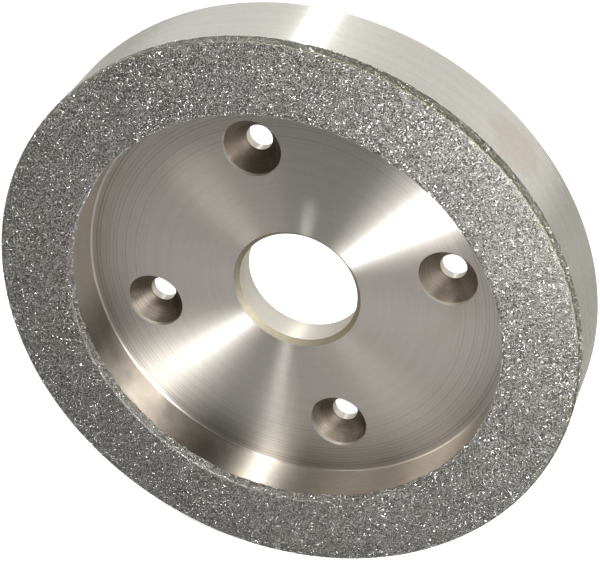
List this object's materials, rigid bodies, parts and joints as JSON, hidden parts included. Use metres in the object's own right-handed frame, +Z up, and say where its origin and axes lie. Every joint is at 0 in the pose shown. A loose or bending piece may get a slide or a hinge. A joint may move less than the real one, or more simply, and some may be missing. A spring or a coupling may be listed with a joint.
{
  "type": "plate-mounted diamond cup wheel",
  "caption": "Grinding wheel: a cup-shaped turned steel body with a plain central bore, countersunk screw holes and a flat rim plated with one layer of diamond crystals.",
  "frame": {"origin": "centre of the bore in the plane of the flat back face", "axes": "+Y along the bore axis, out of the back face toward the machine's plate, so the diamond face looks toward -Y; +Z up and +X right as the wheel stands on edge, seen from the diamond face"},
  "size_m": [0.1524, 0.0229, 0.1524],
  "materials": {
    "turned_steel": "turned bare steel, fine concentric tool marks, light brown storage stains",
    "nickel_plate": "dull electroplated nickel",
    "diamond_crystals": "grey-brown translucent diamond crystals with bright facets"
  },
  "bodies": {
    "root": {"steel_core": "turned_steel", "nickel_bond": "nickel_plate", "diamond_face": "diamond_crystals", "diamond_outer_edge": "diamond_crystals", "diamond_inner_edge": "diamond_crystals"}
  },
  "joints": []
}
